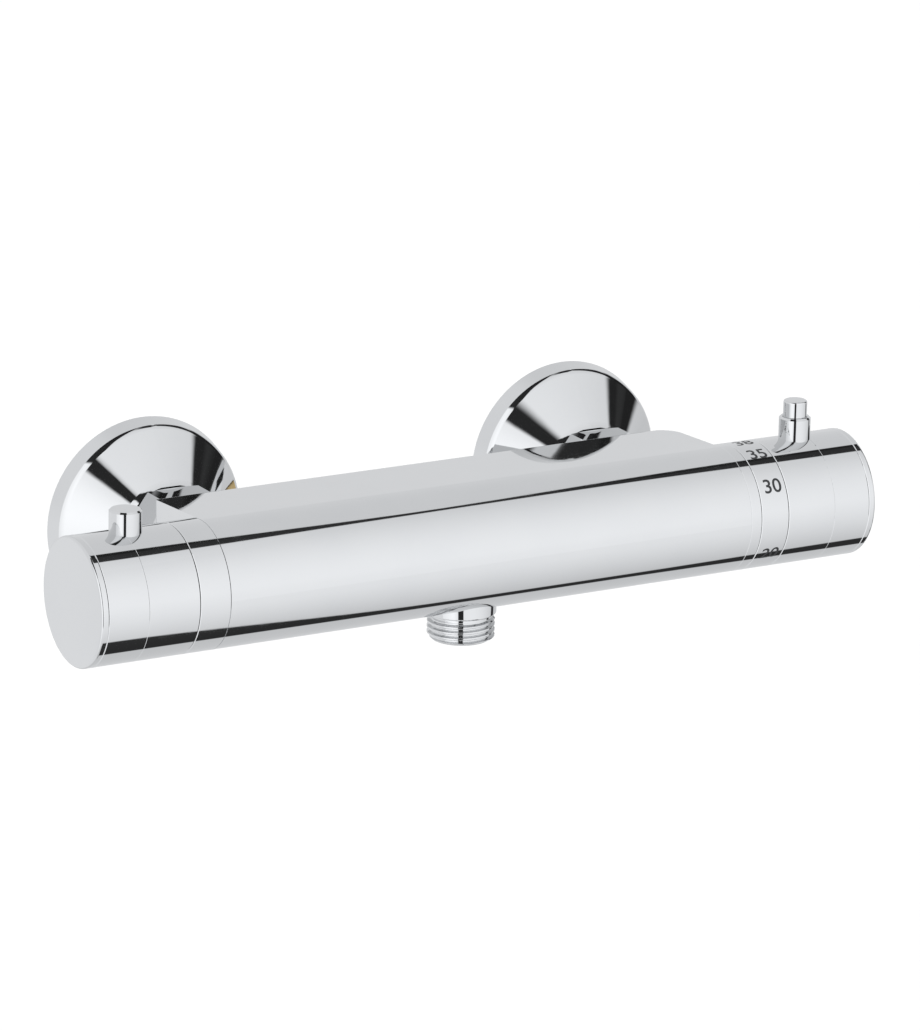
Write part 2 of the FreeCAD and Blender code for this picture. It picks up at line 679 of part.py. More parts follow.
def spindle_seal(handle):
    centre_r = SPINDLE_R - SPINDLE_SEAL_WIRE_R
    return o_ring(handle.axis, -SPINDLE_SEAL_DEPTH, centre_r, SPINDLE_SEAL_WIRE_R)


def spindle_seal_groove(handle):
    half = SPINDLE_SEAL_WIRE_R + SEAL_GAP
    return ring(handle.axis, SPINDLE_R - 2 * half, SPINDLE_R + RUNNING_GAP,
                -SPINDLE_SEAL_DEPTH - half, -SPINDLE_SEAL_DEPTH + half)


def spindle_top(handle, inner_end):
    """Shaft through the head, its splined end and the tapped hole for the screw."""
    axis = handle.axis
    shaft = rod(axis, SPINDLE_R, inner_end, handle.neck_end)
    shaft = shaft.fuse(spline(axis, handle.neck_end, handle.spindle_end))
    hole = rod(axis, SCREW_R + SEAL_GAP, handle.spindle_end - SCREW_GRIP - SCREW_TIP_GAP,
               handle.spindle_end)
    return shaft.cut(hole).cut(spindle_seal_groove(handle))


# ---- Flow cartridge -------------------------------------------------------------------------------

def flow_places():
    """Depths of the disc stack, from the blind end of the bore outwards."""
    seal_top = FLOW_BORE_DEPTH - FLOW_SEAL_THICKNESS
    fixed_top = seal_top - DISC_THICKNESS
    moving_bottom = fixed_top - DISC_GAP
    moving_top = moving_bottom - DISC_THICKNESS
    carrier_top = moving_top - CARRIER_THICKNESS
    return seal_top, fixed_top, moving_bottom, moving_top, carrier_top


def flow_housing(handle):
    axis = handle.axis
    seal_top = flow_places()[0]
    chamber_r = DISC_R + DISC_SIDE_GAP
    bore_r = SPINDLE_R + RUNNING_GAP
    profile = [(-seal_top, chamber_r), (-seal_top, HOUSING_R)] + head_profile(handle)
    profile += [(handle.neck_end, bore_r), (-FLOW_CHAMBER_TOP, bore_r), (-FLOW_CHAMBER_TOP, chamber_r)]
    housing = spun(axis, profile)
    carrier_top = flow_places()[4]
    for slot in windows(axis, (carrier_top + FLOW_CHAMBER_TOP) / 2, WINDOW_LENGTH):
        housing = housing.cut(slot.cut(rod(axis, chamber_r, -FLOW_BORE_DEPTH, 0)))
    return housing.cut(seal_groove(axis, HEAD_THREAD_LENGTH + 2 * SEAL_WIRE_R))


def disc(axis, radius, bottom, top, turn):
    """Ceramic disc with two opposite water ports."""
    plate = rod(axis, radius, -bottom, -top)
    for side in (0, 180):
        port = Part.makeCylinder(DISC_PORT_R, DISC_THICKNESS, axis.at(-bottom, DISC_PORT_PLACE), axis.direction)
        port.rotate(axis.start, RIGHTWARDS, turn + side)
        plate = plate.cut(port)
    return plate


def flow_spindle(handle):
    moving_top, carrier_top = flow_places()[3:]
    carrier = rod(handle.axis, DISC_R - DISC_SIDE_GAP, -moving_top, -carrier_top)
    slot = Part.makeBox(CARRIER_THICKNESS, 2 * DISC_PORT_R, 4 * DISC_R)
    slot.translate(vec(-CARRIER_THICKNESS / 2, -DISC_PORT_R, -2 * DISC_R))
    slot.rotate(vec(0, 0, 0), RIGHTWARDS, 90)
    slot.translate(handle.axis.at(-(moving_top + carrier_top) / 2))
    core = rod(handle.axis, SPINDLE_R, -moving_top, -carrier_top)
    return carrier.cut(slot.cut(core)).fuse(spindle_top(handle, -carrier_top - TINY))


# ---- Thermostat cartridge ------------------------------------------------------------------------

def thermostat_housing(handle):
    axis = handle.axis
    inner_r = SHUTTLE_R + RUNNING_GAP
    profile = [(-THERMO_END, inner_r), (-THERMO_END, HOUSING_R)] + head_profile(handle)
    profile += [
        (handle.neck_end, SPINDLE_R + RUNNING_GAP), (-SCREW_CHAMBER_TOP, SPINDLE_R + RUNNING_GAP),
        (-SCREW_CHAMBER_TOP, SCREW_CHAMBER_R), (-THERMO_CHAMBER_TOP, SCREW_CHAMBER_R),
        (-THERMO_CHAMBER_TOP, inner_r)]
    housing = spun(axis, profile)
    shuttle_bottom = SHUTTLE_TOP + SHUTTLE_LENGTH
    port_place = PORT_LIP + PORT_LENGTH / 2
    for depth in (SHUTTLE_TOP - port_place, shuttle_bottom + port_place):
        for slot in windows(axis, depth, PORT_LENGTH):
            housing = housing.cut(slot)
    for land in LANDS:
        housing = housing.cut(seal_groove(axis, land))
    return housing.cut(seal_groove(axis, HEAD_THREAD_LENGTH + 2 * SEAL_WIRE_R))


def thermostat_seals(axis):
    """The two inner seals that part the cold, hot and mixed chambers."""
    return Part.Compound([housing_seal(axis, land) for land in LANDS])


def thermostat_base(handle):
    """Ring in the inner end of the housing that the return spring stands on."""
    return ring(handle.axis, BASE_HOLE_R, SHUTTLE_R, -THERMO_END, -THERMO_END + BASE_THICKNESS)


def shuttle(handle):
    """Sleeve between the cold and hot seats, with a spoked web round the wax element."""
    axis = handle.axis
    bottom = SHUTTLE_TOP + SHUTTLE_LENGTH
    web_bottom = bottom - SHUTTLE_WEB
    body = ring(axis, SHUTTLE_R - SHUTTLE_WALL, SHUTTLE_R, -bottom, -SHUTTLE_TOP)
    body = body.fuse(ring(axis, WAX_R + SEAL_GAP, SHUTTLE_R - SHUTTLE_WALL + TINY, -bottom, -web_bottom))
    hole_place = (WAX_R + SHUTTLE_R - SHUTTLE_WALL) / 2
    for number in range(SHUTTLE_HOLES):
        hole = Part.makeCylinder(SHUTTLE_HOLE_R, SHUTTLE_WEB, axis.at(-bottom, hole_place), axis.direction)
        hole.rotate(axis.start, RIGHTWARDS, number * 360.0 / SHUTTLE_HOLES)
        body = body.cut(hole)
    return body


def wax_element(handle):
    axis = handle.axis
    body = rod(axis, WAX_R, -WAX_BOTTOM, -WAX_TOP)
    return body.fuse(rod(axis, PISTON_R, -WAX_TOP, -DRIVE_NUT_BOTTOM))


def drive_nut(handle):
    """Nut on the spindle's thread that sets how far the wax element's piston is pushed."""
    axis = handle.axis
    nut = rod(axis, SCREW_CHAMBER_R - RUNNING_GAP, -DRIVE_NUT_BOTTOM, -DRIVE_NUT_TOP)
    bore = rod(axis, DRIVE_THREAD_R + RUNNING_GAP, DRIVE_NUT_FLOOR - DRIVE_NUT_BOTTOM, -DRIVE_NUT_TOP)
    return nut.cut(bore)


def return_spring(handle):
    bottom = SHUTTLE_TOP + SHUTTLE_LENGTH
    return coil(handle.axis, BASE_THICKNESS - THERMO_END, -bottom,
                RETURN_SPRING_R, RETURN_WIRE_R, RETURN_COILS)


def temperature_spindle(handle):
    axis = handle.axis
    collar_bottom = -SCREW_CHAMBER_TOP - SPINDLE_COLLAR_THICKNESS
    spindle = spindle_top(handle, -SCREW_CHAMBER_TOP - TINY)
    spindle = spindle.fuse(rod(axis, SPINDLE_COLLAR_R, collar_bottom, -SCREW_CHAMBER_TOP))
    return spindle.fuse(rod(axis, DRIVE_THREAD_R, -DRIVE_THREAD_END, collar_bottom))


# ---- Inlet unions ---------------------------------------------------------------------------------

class Bell:
    """Section of the rosette's flare: a hollow throat, a straight slope and a full shoulder."""

    def __init__(self):
        self.rim = (ROSETTE_RIM, ROSETTE_R - ROSETTE_RIM_TAPER)
        self.neck = (ROSETTE_LENGTH, ROSETTE_NECK_R)
        rim_tilt = math.radians(ROSETTE_SHOULDER_TILT)
        neck_tilt = math.radians(ROSETTE_THROAT_TILT)
        shoulder = self.moved(self.rim, rim_tilt, -ROSETTE_SHOULDER_R)
        throat = self.moved(self.neck, neck_tilt, ROSETTE_THROAT_R)
        span = (throat[0] - shoulder[0], throat[1] - shoulder[1])
        reach = (ROSETTE_SHOULDER_R + ROSETTE_THROAT_R) / math.hypot(*span)
        slope_tilt = math.atan2(span[1], span[0]) + math.acos(reach)
        self.arcs = (
            (shoulder, ROSETTE_SHOULDER_R, (rim_tilt, slope_tilt)),
            (throat, -ROSETTE_THROAT_R, (slope_tilt, neck_tilt)))

    @staticmethod
    def moved(point, tilt, distance):
        """Point moved outwards along the direction that a surface of that tilt faces."""
        return point[0] + distance * math.cos(tilt), point[1] + distance * math.sin(tilt)

    def arc_points(self, number, depth):
        """Start, middle and end of one arc, at a depth below the outer surface."""
        centre, radius, (first, last) = self.arcs[number]
        return [self.moved(centre, tilt, radius - depth) for tilt in (first, (first + last) / 2, last)]

    def edges(self, axis, depth):
        shoulder = [axis.at(*point) for point in self.arc_points(0, depth)]
        throat = [axis.at(*point) for point in self.arc_points(1, depth)]
        return [Part.Arc(*shoulder).toShape(), Part.makeLine(shoulder[2], throat[0]), Part.Arc(*throat).toShape()]


def rosette(x):
    """Thin bell-shaped wall cover with a threaded bush in its neck."""
    axis = inlet_axis(x)
    bell = Bell()
    rim = axis.at(*bell.rim)
    neck = axis.at(*bell.neck)
    rim_inside = axis.at(*bell.arc_points(0, ROSETTE_WALL)[0])
    back_inside = axis.at(0, ROSETTE_R - ROSETTE_WALL)
    neck_lip = axis.at(ROSETTE_LENGTH, ROSETTE_NECK_R - ROSETTE_WALL)
    neck_inside = axis.at(*bell.arc_points(1, ROSETTE_WALL)[2])
    edges = bell.edges(axis, 0) + bell.edges(axis, ROSETTE_WALL)
    edges.append(Part.makeLine(rim, axis.at(0, ROSETTE_R)))
    edges.append(Part.makeLine(axis.at(0, ROSETTE_R), back_inside))
    edges.append(Part.makeLine(back_inside, rim_inside))
    edges.append(Part.makeLine(neck, neck_lip))
    edges.append(Part.makeLine(neck_lip, neck_inside))
    section = Part.Face(Part.Wire(Part.sortEdges(edges)[0]))
    shell = section.revolve(axis.start, axis.direction, 360)
    shell = shell.makeFillet(ROSETTE_EDGE_R, circular_edges(shell, bell.rim[1], axis, ROSETTE_RIM))
    bush = ring(axis, THREE_QUARTER_R + THREAD_GAP, ROSETTE_NECK_R - ROSETTE_WALL / 2,
                ROSETTE_LENGTH - ROSETTE_BUSH, ROSETTE_LENGTH)
    return shell.fuse(bush)


def s_union(x):
    """Eccentric connector: half-inch tail in the wall, three-quarter head for the nut."""
    tail = tail_axis(x)
    head = inlet_axis(x)
    plate_end = OFFSET_START + OFFSET_THICKNESS
    thread_end = OFFSET_START - TAIL_RELIEF
    union = spun(tail, [
        (-TAIL_LENGTH, 0), (-TAIL_LENGTH, HALF_INCH_R - END_CHAMFER), (END_CHAMFER - TAIL_LENGTH, HALF_INCH_R),
        (thread_end, HALF_INCH_R), (thread_end, TAIL_RELIEF_R), (plate_end, TAIL_RELIEF_R), (plate_end, 0)])
    union = union.fuse(spun(head, [
        (OFFSET_START, 0), (OFFSET_START, THREE_QUARTER_R), (UNION_FACE - END_CHAMFER, THREE_QUARTER_R),
        (UNION_FACE, THREE_QUARTER_R - END_CHAMFER), (UNION_FACE, 0)]))
    union = union.cut(rod(tail, TAIL_BORE_R, -TAIL_LENGTH, plate_end - OFFSET_WALL))
    return union.cut(rod(head, HEAD_BORE_R, OFFSET_START + OFFSET_WALL, UNION_FACE))


def union_washer(x):
    return ring(inlet_axis(x), WASHER_INNER_R, NIPPLE_FLANGE_R, UNION_FACE, UNION_FACE + WASHER_THICKNESS)


def strainer(x):
    """Round screen held inside the washer."""
    axis = inlet_axis(x)
    middle = UNION_FACE + WASHER_THICKNESS / 2
    screen = rod(axis, WASHER_INNER_R - SEAL_GAP, middle - SCREEN_THICKNESS / 2, middle + SCREEN_THICKNESS / 2)
    for ring_r, count in SCREEN_RINGS:
        start = axis.at(UNION_FACE, ring_r)
        for number in range(count):
            hole = Part.makeCylinder(SCREEN_HOLE_R, WASHER_THICKNESS, start, axis.direction)
            hole.rotate(axis.start, axis.direction, number * 360.0 / count)
            screen = screen.cut(hole)
    return screen


def nipple_face():
    return UNION_FACE + WASHER_THICKNESS


def inlet_nipple(x):
    axis = inlet_axis(x)
    start = nipple_face()
    stem = start + NIPPLE_FLANGE_THICKNESS
    end = BODY_REAR + INLET_THREAD_DEPTH
    thread_r = INLET_THREAD_R - THREAD_GAP
    return spun(axis, [
        (start, NIPPLE_BORE_R), (start, NIPPLE_FLANGE_R), (stem, NIPPLE_FLANGE_R), (stem, NIPPLE_STEM_R),
        (BODY_REAR, NIPPLE_STEM_R), (BODY_REAR, thread_r), (end, thread_r), (end, NIPPLE_BORE_R)])


def union_nut(x):
    axis = inlet_axis(x)
    end = BODY_REAR - NUT_BODY_GAP
    lip = nipple_face() + NIPPLE_FLANGE_THICKNESS + THREAD_GAP
    corner_r = NUT_FLATS / math.sqrt(3)
    chamfer = corner_r - NUT_ROUND_R
    nut = prism(axis, [(30 + 60 * side, corner_r) for side in range(6)], NUT_START, end)
    turned = spun(axis, [
        (NUT_START, 0), (NUT_START, NUT_ROUND_R - chamfer), (NUT_START + chamfer, corner_r),
        (end - chamfer, corner_r), (end, NUT_ROUND_R - chamfer), (end, 0)])
    bore = spun(axis, [
        (NUT_START, 0), (NUT_START, THREE_QUARTER_R + THREAD_GAP), (lip, THREE_QUARTER_R + THREAD_GAP),
        (lip, NIPPLE_STEM_R + NUT_STEM_GAP), (end, NIPPLE_STEM_R + NUT_STEM_GAP), (end, 0)])
    return nut.common(turned).cut(bore)


# ---- Check valves ---------------------------------------------------------------------------------

class CheckValve:
    """Places of one check valve along its inlet, out from the wall."""

    def __init__(self, x):
        self.axis = inlet_axis(x)
        self.start = nipple_face() + VALVE_SHELL_START
        self.seat_top = self.start + VALVE_SEAT_THICKNESS
        self.disc_top = self.seat_top + POPPET_THICKNESS
        self.spider = self.disc_top + POPPET_TRAVEL + VALVE_SPRING_ROOM
        self.end = self.spider + SPIDER_THICKNESS
        self.inner_r = NIPPLE_BORE_R - SEAL_GAP - VALVE_SHELL_WALL


def check_valve_shell(valve):
    axis = valve.axis
    outer_r = NIPPLE_BORE_R - SEAL_GAP
    shell = spun(axis, [
        (valve.start, VALVE_SEAT_R), (valve.start, outer_r), (valve.end, outer_r),
        (valve.end, POPPET_STEM_R + BUTTON_SIDE_GAP), (valve.spider, POPPET_STEM_R + BUTTON_SIDE_GAP),
        (valve.spider, valve.inner_r), (valve.seat_top, valve.inner_r), (valve.seat_top, VALVE_SEAT_R)])
    place = (POPPET_STEM_R + valve.inner_r) / 2
    for number in range(SPIDER_HOLES):
        hole = Part.makeCylinder(SPIDER_HOLE_R, SPIDER_THICKNESS, axis.at(valve.spider, place), axis.direction)
        hole.rotate(axis.start, axis.direction, number * 360.0 / SPIDER_HOLES)
        shell = shell.cut(hole)
    return shell


def check_valve_poppet(valve):
    poppet = rod(valve.axis, POPPET_R, valve.seat_top, valve.disc_top)
    return poppet.fuse(rod(valve.axis, POPPET_STEM_R, valve.disc_top, valve.end - POPPET_STEM_SHORT))


def check_valve_spring(valve):
    return coil(valve.axis, valve.disc_top, valve.spider, VALVE_SPRING_R, VALVE_WIRE_R, VALVE_COILS)


# ---- Build ----------------------------------------------------------------------------------------

def build_inlets():
    for side, x in SIDES.items():
        valve = CheckValve(x)
        save("s_union_" + side, s_union(x))
        save("rosette_" + side, rosette(x))
        save("union_washer_" + side, union_washer(x))
        save("strainer_" + side, strainer(x))
        save("inlet_nipple_" + side, inlet_nipple(x))
        save("union_nut_" + side, union_nut(x))
        save("check_valve_shell_" + side, check_valve_shell(valve))
        save("check_valve_poppet_" + side, check_valve_poppet(valve))
        save("check_valve_spring_" + side, check_valve_spring(valve))


def build_handle(name, handle):
    save(name + "_handle_sleeve", handle_barrel(handle))
    save(name + "_lever_nut", lever_nut(handle))
    save(name + "_end_cap", end_cap(handle))
    save(name + "_spline_insert", spline_insert(handle))
    save(name + "_handle_screw", handle_screw(handle))
    save(name + "_spindle_seal", spindle_seal(handle))
    save(name + "_housing_seal", housing_seal(handle.axis, HEAD_THREAD_LENGTH + 2 * SEAL_WIRE_R))


def build_flow_end():
    handle = Handle(LEFT_END, COLLAR_LENGTH, FLOW_HANDLE_LENGTH, FLOW_LEVER_INSET, (0.0, FLOW_TURN))
    seal_top, fixed_top, moving_bottom, moving_top, carrier_top = flow_places()
    build_handle("flow", handle)
    save("left_collar", fixed_ring(handle.axis, 0, COLLAR_LENGTH))
    save("flow_lever", lever_blank(handle))
    save("flow_stop_ring", stop_ring(handle))
    save("flow_cartridge_housing", flow_housing(handle))
    save("flow_spindle", flow_spindle(handle))
    save("flow_fixed_disc", disc(handle.axis, DISC_R, seal_top, fixed_top, 0))
    save("flow_moving_disc", disc(handle.axis, DISC_R - DISC_SIDE_GAP, moving_bottom, moving_top, 90))
    save("flow_disc_seal", ring(handle.axis, MIXED_BORE_R, FLOW_SEAL_R, -FLOW_BORE_DEPTH, -seal_top))


def build_temperature_end():
    rings = NARROW_RING_LENGTH + RING_SEAM + NUMBER_RING_LENGTH
    handle = Handle(RIGHT_END, rings, TEMP_HANDLE_LENGTH, TEMP_LEVER_INSET, (-HOT_TURN, COLD_TURN))
    build_handle("temperature", handle)
    save("narrow_ring", fixed_ring(handle.axis, 0, NARROW_RING_LENGTH))
    save("number_ring", fixed_ring(handle.axis, NARROW_RING_LENGTH + RING_SEAM, NUMBER_RING_LENGTH))
    save("temperature_lever", temperature_lever(handle))
    save("safety_button", safety_button(handle))
    save("button_spring", button_spring(handle))
    save("safety_stop_ring", safety_stop_ring(handle))
    save("thermostat_housing", thermostat_housing(handle))
    save("thermostat_seals", thermostat_seals(handle.axis))
    save("thermostat_base", thermostat_base(handle))
    save("temperature_spindle", temperature_spindle(handle))
    save("drive_nut", drive_nut(handle))
    save("shuttle", shuttle(handle))
    save("wax_element", wax_element(handle))
    save("return_spring", return_spring(handle))


def main():
    os.makedirs("parts", exist_ok=True)
    save("valve_body", valve_body())
    save("outlet_nipple", outlet_nipple())
    save("outlet_seal", outlet_seal())
    build_flow_end()
    build_temperature_end()
    build_inlets()


main()
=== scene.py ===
"""Looks of an exposed thermostatic shower valve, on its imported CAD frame.

Lengths are in millimetres until a mesh is made, and in metres from there on.
"""
import json
import math

import bmesh
import bpy
from mathutils import Matrix, Vector


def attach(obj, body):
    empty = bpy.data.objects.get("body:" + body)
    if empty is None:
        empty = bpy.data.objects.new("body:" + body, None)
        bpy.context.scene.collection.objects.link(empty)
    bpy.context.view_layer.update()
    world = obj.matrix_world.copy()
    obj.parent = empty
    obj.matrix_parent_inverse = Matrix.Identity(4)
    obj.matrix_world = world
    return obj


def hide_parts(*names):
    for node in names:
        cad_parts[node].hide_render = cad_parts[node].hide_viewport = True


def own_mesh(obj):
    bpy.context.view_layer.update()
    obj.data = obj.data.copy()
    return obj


MM = 0.001

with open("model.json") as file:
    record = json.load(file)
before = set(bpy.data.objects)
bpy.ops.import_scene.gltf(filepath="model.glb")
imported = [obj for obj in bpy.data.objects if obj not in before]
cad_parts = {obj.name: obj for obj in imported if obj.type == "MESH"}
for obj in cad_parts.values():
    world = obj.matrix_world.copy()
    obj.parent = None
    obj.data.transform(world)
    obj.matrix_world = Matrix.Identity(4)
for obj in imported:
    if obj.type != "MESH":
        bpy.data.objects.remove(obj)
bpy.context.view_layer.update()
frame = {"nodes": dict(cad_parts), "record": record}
nodes = frame["nodes"]


def box(node):
    """Lowest and highest corner of a node, in metres."""
    corners = [node.matrix_world @ Vector(corner) for corner in node.bound_box]
    low = [min(corner[k] for corner in corners) for k in range(3)]
    high = [max(corner[k] for corner in corners) for k in range(3)]
    return low, high


def box_mm(name):
    """The same in millimetres, to a tenth of a micrometre, for a node by its name."""
    return [[round(value / MM, 4) for value in corner] for corner in box(nodes[name])]


# The number ring sits round the bar's axis and has the bar's radius.
ring_low, ring_high = box_mm("number_ring")
RING_MIDDLE, AXIS_Y, AXIS_Z = [(low + high) / 2 for low, high in zip(ring_low, ring_high)]
BAR_R = (ring_high[2] - ring_low[2]) / 2


# ---- Materials --------------------------------------------------------------------------------

NOISE_LOW, NOISE_HIGH = 0.3, 0.7        # the part of a noise's range that its ramps use
BRASS_LINES = (1.0, 1.0, 14.0)          # closer together upwards, so that they run level


def new_material(name, metallic, color, roughness):
    """Material with its node tree and its one shader."""
    material = bpy.data.materials.new(name)
    material.use_nodes = True
    tree = material.node_tree
    shader = tree.nodes["Principled BSDF"]
    shader.inputs["Metallic"].default_value = metallic
    shader.inputs["Base Color"].default_value = (*color, 1.0)
    shader.inputs["Roughness"].default_value = roughness
    return material, tree, shader


def coordinates(tree, scale=(1, 1, 1)):
    """The piece's own coordinates, times a scale along each axis."""
    place = tree.nodes.new("ShaderNodeTexCoord")
    mapping = tree.nodes.new("ShaderNodeMapping")
    mapping.inputs["Scale"].default_value = scale
    tree.links.new(place.outputs["Object"], mapping.inputs["Vector"])
    return mapping.outputs["Vector"]


def noise(tree, vector, scale, detail=3.0):
    """Noise between 0 and 1 over the coordinates."""
    node = tree.nodes.new("ShaderNodeTexNoise")
    node.inputs["Scale"].default_value = scale
    node.inputs["Detail"].default_value = detail
    tree.links.new(vector, node.inputs["Vector"])
    return node.outputs["Fac"]


def polish(tree, shader, value, low, high):
    """Roughness between two values, by a noise."""
    node = tree.nodes.new("ShaderNodeMapRange")
    node.inputs["From Min"].default_value = NOISE_LOW
    node.inputs["From Max"].default_value = NOISE_HIGH
    node.inputs["To Min"].default_value = low
    node.inputs["To Max"].default_value = high
    tree.links.new(value, node.inputs["Value"])
    tree.links.new(node.outputs["Result"], shader.inputs["Roughness"])


def bump(tree, shader, value, strength, distance):
    """Fine relief of the surface, by a noise."""
    node = tree.nodes.new("ShaderNodeBump")
    node.inputs["Strength"].default_value = strength
    node.inputs["Distance"].default_value = distance
    tree.links.new(value, node.inputs["Height"])
    tree.links.new(node.outputs["Normal"], shader.inputs["Normal"])


def tint(tree, shader, value, dark, light):
    """Base colour between two tones, by a noise."""
    ramp = tree.nodes.new("ShaderNodeValToRGB")
    ramp.color_ramp.elements[0].position = NOISE_LOW
    ramp.color_ramp.elements[0].color = (*dark, 1.0)
    ramp.color_ramp.elements[1].position = NOISE_HIGH
    ramp.color_ramp.elements[1].color = (*light, 1.0)
    tree.links.new(value, ramp.inputs["Fac"])
    tree.links.new(ramp.outputs["Color"], shader.inputs["Base Color"])


def chrome_material():
    """Polished chrome plate: a mirror with a faint cool tone and barely uneven polish."""
    material, tree, shader = new_material(
        "chrome", metallic=1.0, color=(0.665, 0.67, 0.675), roughness=0.03)
    vector = coordinates(tree)
    broad = noise(tree, vector, scale=55.0, detail=4.0)
    tint(tree, shader, broad, dark=(0.658, 0.665, 0.672), light=(0.673, 0.679, 0.684))
    fine = noise(tree, vector, scale=240.0)
    polish(tree, shader, fine, low=0.018, high=0.045)
    waves = noise(tree, vector, scale=90.0, detail=2.0)
    bump(tree, shader, waves, strength=0.03, distance=0.0001)
    return material


def brass_material():
    """Machined brass with fine level lines."""
    material, tree, shader = new_material(
        "brass", metallic=1.0, color=(0.72, 0.55, 0.28), roughness=0.28)
    broad = noise(tree, coordinates(tree), scale=140.0)
    tint(tree, shader, broad, dark=(0.62, 0.45, 0.21), light=(0.76, 0.59, 0.31))
    lines = noise(tree, coordinates(tree, BRASS_LINES), scale=420.0, detail=2.0)
    polish(tree, shader, lines, low=0.2, high=0.38)
    bump(tree, shader, lines, strength=0.12, distance=0.0002)
    return material


def steel_material():
    """Drawn stainless steel of the springs, inlet screens and handle screws."""
    material, tree, shader = new_material(
        "stainless", metallic=1.0, color=(0.60, 0.60, 0.61), roughness=0.3)
    grain = noise(tree, coordinates(tree), scale=600.0, detail=2.0)
    tint(tree, shader, grain, dark=(0.52, 0.52, 0.53), light=(0.64, 0.64, 0.65))
    polish(tree, shader, grain, low=0.22, high=0.36)
    return material


def rubber_material():
    """Black rubber of the seals and washers."""
    material, tree, shader = new_material(
        "rubber", metallic=0.0, color=(0.03, 0.03, 0.03), roughness=0.6)
    grain = noise(tree, coordinates(tree), scale=900.0, detail=4.0)
    tint(tree, shader, grain, dark=(0.018, 0.018, 0.019), light=(0.042, 0.042, 0.043))
    polish(tree, shader, grain, low=0.5, high=0.72)
    bump(tree, shader, grain, strength=0.2, distance=0.0002)
    return material


def ceramic_material():
    """Lapped ceramic of the flow cartridge's discs."""
    material, tree, shader = new_material(
        "ceramic", metallic=0.0, color=(0.90, 0.89, 0.86), roughness=0.12)
    grain = noise(tree, coordinates(tree), scale=300.0, detail=4.0)
    tint(tree, shader, grain, dark=(0.86, 0.85, 0.82), light=(0.92, 0.91, 0.89))
    polish(tree, shader, grain, low=0.08, high=0.18)
    return material


def plastic_material():
    """Moulded off-white plastic of the check valves, inserts, stop rings and shuttle."""
    material, tree, shader = new_material(
        "plastic", metallic=0.0, color=(0.86, 0.86, 0.84), roughness=0.45)
    grain = noise(tree, coordinates(tree), scale=500.0, detail=4.0)
    tint(tree, shader, grain, dark=(0.80, 0.80, 0.78), light=(0.88, 0.88, 0.86))
    polish(tree, shader, grain, low=0.38, high=0.52)
    bump(tree, shader, grain, strength=0.08, distance=0.0002)
    return material


def print_material():
    """Dark grey printing ink of the numbers."""
    material, tree, shader = new_material(
        "number_ink", metallic=0.0, color=(0.02, 0.021, 0.023), roughness=0.5)
    grain = noise(tree, coordinates(tree), scale=2500.0, detail=3.0)
    tint(tree, shader, grain, dark=(0.015, 0.016, 0.018), light=(0.027, 0.028, 0.031))
    polish(tree, shader, grain, low=0.42, high=0.6)
    return material


MATERIALS = {
    "chrome": chrome_material(),
    "brass": brass_material(),
    "stainless": steel_material(),
    "rubber": rubber_material(),
    "ceramic": ceramic_material(),
    "plastic": plastic_material(),
}
INK = print_material()

for part in frame["record"]["subparts"]:
    node = nodes[part["node"]]
    node.data.materials.clear()
    node.data.materials.append(MATERIALS[part["material_slot"]])


# ---- Mesh helpers -----------------------------------------------------------------------------

def make_object(name, mesh, material):
    """Object of one mesh and one material, linked to the scene."""
    mesh.materials.append(material)
    obj = bpy.data.objects.new(name, mesh)
    bpy.context.scene.collection.objects.link(obj)
    return obj


def dress(obj, body, replaced=()):
    """Let a piece ride on a body, in place of the nodes it replaces."""
    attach(obj, body)
    if replaced:
        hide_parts(*replaced)


class Line:
    """An axis in the frame, in millimetres, with a radial direction."""

    def __init__(self, start, direction, radial):
        self.start = Vector(start)
        self.direction = Vector(direction)
        self.radial = Vector(radial)
        self.side = self.direction.cross(self.radial)

    def point(self, along, radius, turn):
        """Point in metres at a length along the axis, a radius and a turn about it."""
        radial = self.radial * math.cos(turn) + self.side * math.sin(turn)
        return (self.start + self.direction * along + radial * radius) * MM


OUTLET = Line((0, AXIS_Y, AXIS_Z), (0, 0, -1), (1, 0, 0))


def rounded(points, steps):
    """Closed (along, radius) loop whose corners (along, radius, rounding) are rounded."""
    out = []
    count = len(points)
    for index in range(count):
        corner = Vector(points[index][:2])
        rounding = points[index][2] if len(points[index]) > 2 else 0.0
        if rounding <= 0:
            out.append(tuple(corner))
            continue
        back = (Vector(points[index - 1][:2]) - corner).normalized()
        ahead = (Vector(points[(index + 1) % count][:2]) - corner).normalized()
        half = back.angle(ahead) / 2
        reach = rounding / math.tan(half)
        centre = corner + (back + ahead).normalized() * rounding / math.sin(half)
        first = corner + back * reach - centre
        last = corner + ahead * reach - centre
        sweep = first.angle_signed(last)
        for step in range(steps + 1):
            turn = Matrix.Rotation(-sweep * step / steps, 2)
            out.append(tuple(centre + turn @ first))
    return out


# ---- Numbers ----------------------------------------------------------------------------------

NUMBER_WIDTH = 6.2
NUMBER_HEIGHT = 4.6
NUMBER_SHIFT = 0.3             # the numbers stand off the middle of their ring
INK_THICKNESS = 0.012
INK_ROOT = 0.05                # how far the ink reaches down into the ring
LETTER_DEPTH = 0.02            # in the font's own units, as is the weight
LETTER_WEIGHT = 0.012
LETTER_SMOOTHNESS = 8
LETTER_ROWS = 14               # strips that let a number bend round the ring
WELD = 1e-5
LETTER_EDGE = 40               # degrees

# Degrees from straight up towards the front.
NUMBERS = (("38", -3.0), ("35", 21.5), ("30", 57.5), ("20", 124.0))


